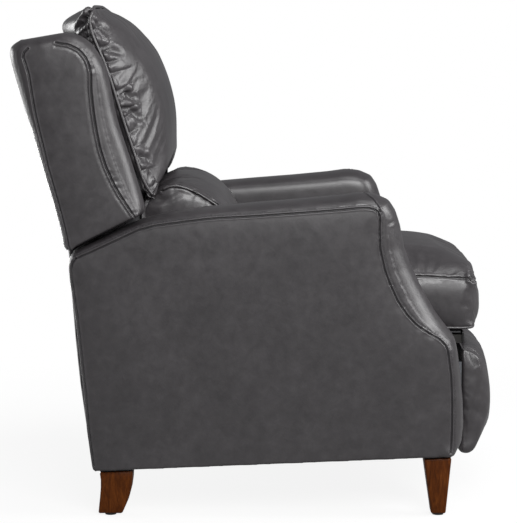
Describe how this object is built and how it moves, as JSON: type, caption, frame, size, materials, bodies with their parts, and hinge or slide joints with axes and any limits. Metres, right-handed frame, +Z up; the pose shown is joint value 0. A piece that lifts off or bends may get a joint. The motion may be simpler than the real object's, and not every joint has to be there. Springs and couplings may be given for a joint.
{
  "type": "push-back recliner chair",
  "caption": "High-leg push-back recliner in leather with wings, loose back pillow, sloping track arms, fold-out footrest and tapered wooden legs.",
  "frame": {"origin": "on the floor, at the middle of the chair's box", "axes": "+Z up, the chair faces -Y, +X is the sitter's left"},
  "size_m": [0.8, 1.035, 1.07],
  "materials": {
    "leather": "semi-gloss, lightly mottled",
    "timber": "raw plywood and softwood",
    "walnut": "stained and lacquered",
    "steel": "satin black, pins bare",
    "fabric": "non-woven lining",
    "plastic": "moulded"
  },
  "bodies": {
    "frame": {"arm_cover_right": "leather", "arm_cover_left": "leather", "arm_panel_right": "timber", "arm_panel_left": "timber", "sill_right": "timber", "sill_left": "timber", "front_stretcher": "timber", "rear_stretcher": "timber", "rear_rail": "timber", "front_leg_right": "walnut", "front_leg_left": "walnut", "rear_leg_right": "walnut", "rear_leg_left": "walnut", "leg_plates": "steel", "leg_glides": "plastic", "base_rail_right": "steel", "base_rail_left": "steel", "rail_bolts": "steel", "base_pins": "steel"},
    "front_swing": {"front_swing_links": "steel"},
    "rear_swing": {"rear_swing_links": "steel"},
    "seat": {"seat_plate_right": "steel", "seat_plate_left": "steel", "seat_pins": "steel", "seat_side_rail_right": "timber", "seat_side_rail_left": "timber", "seat_front_rail": "timber", "seat_rear_rail": "timber", "seat_springs": "steel", "seat_deck": "fabric", "seat_cushion": "leather", "front_border": "leather"},
    "back": {"back_post_right": "timber", "back_post_left": "timber", "back_rails": "timber", "wing_rails": "timber", "back_springs": "steel", "outside_back": "leather", "inner_back_padding": "fabric", "wing_cover_right": "leather", "wing_cover_left": "leather", "wing_panel_right": "timber", "wing_panel_left": "timber", "back_pillow": "leather", "lumbar_cushion": "leather", "back_bracket_right": "steel", "back_bracket_left": "steel", "bracket_screws": "steel"},
    "main_link": {"main_link_right": "steel", "main_link_left": "steel", "drive_tube": "steel", "main_link_pins": "steel"},
    "upper_link": {"upper_links": "steel"},
    "lower_link": {"lower_links": "steel"},
    "footrest": {"footrest_bracket_right": "steel", "footrest_bracket_left": "steel", "footrest_board": "timber", "footrest_screws": "steel", "footrest_cushion": "leather", "footrest_pins": "steel"}
  },
  "joints": [
    {"name": "front_swing_joint", "type": "hinge", "parent": "frame", "child": "front_swing", "pos_m": [0, -0.27173, 0.23299], "axis": [1, 0, 0], "range_deg": [0, 34]},
    {"name": "seat_joint", "type": "hinge", "parent": "front_swing", "child": "seat", "pos_m": [0, -0.2515, 0.3], "axis": [-1, 0, 0], "range_deg": [0, 34]},
    {"name": "rear_swing_joint", "type": "hinge", "parent": "frame", "child": "rear_swing", "pos_m": [0, 0.02827, 0.23299], "axis": [1, 0, 0], "range_deg": [0, 34]},
    {"name": "recline", "type": "hinge", "parent": "seat", "child": "back", "pos_m": [0, 0.2835, 0.3], "axis": [-1, 0, 0], "range_deg": [0, 28]},
    {"name": "footrest_open", "type": "hinge", "parent": "seat", "child": "main_link", "pos_m": [0, -0.3965, 0.335], "axis": [-1, 0, 0], "range_deg": [0, 85]},
    {"name": "upper_link_joint", "type": "hinge", "parent": "main_link", "child": "upper_link", "pos_m": [0, -0.3385, 0.177], "axis": [1, 0, 0], "range_deg": [0, 104.1]},
    {"name": "lower_link_joint", "type": "hinge", "parent": "main_link", "child": "lower_link", "pos_m": [0, -0.3415, 0.132], "axis": [1, 0, 0], "range_deg": [0, 104.1]},
    {"name": "footrest_joint", "type": "hinge", "parent": "upper_link", "child": "footrest", "pos_m": [0, -0.4195, 0.297], "axis": [-1, 0, 0], "range_deg": [0, 104.1]}
  ],
  "couplings": [
    {"joint": "front_swing_joint", "follows": "recline", "ratio": 1.2},
    {"joint": "seat_joint", "follows": "recline", "ratio": 1.2},
    {"joint": "rear_swing_joint", "follows": "recline", "ratio": 1.2},
    {"joint": "upper_link_joint", "follows": "footrest_open", "ratio": 1.2235},
    {"joint": "lower_link_joint", "follows": "footrest_open", "ratio": 1.2235},
    {"joint": "footrest_joint", "follows": "footrest_open", "ratio": 1.2235}
  ]
}
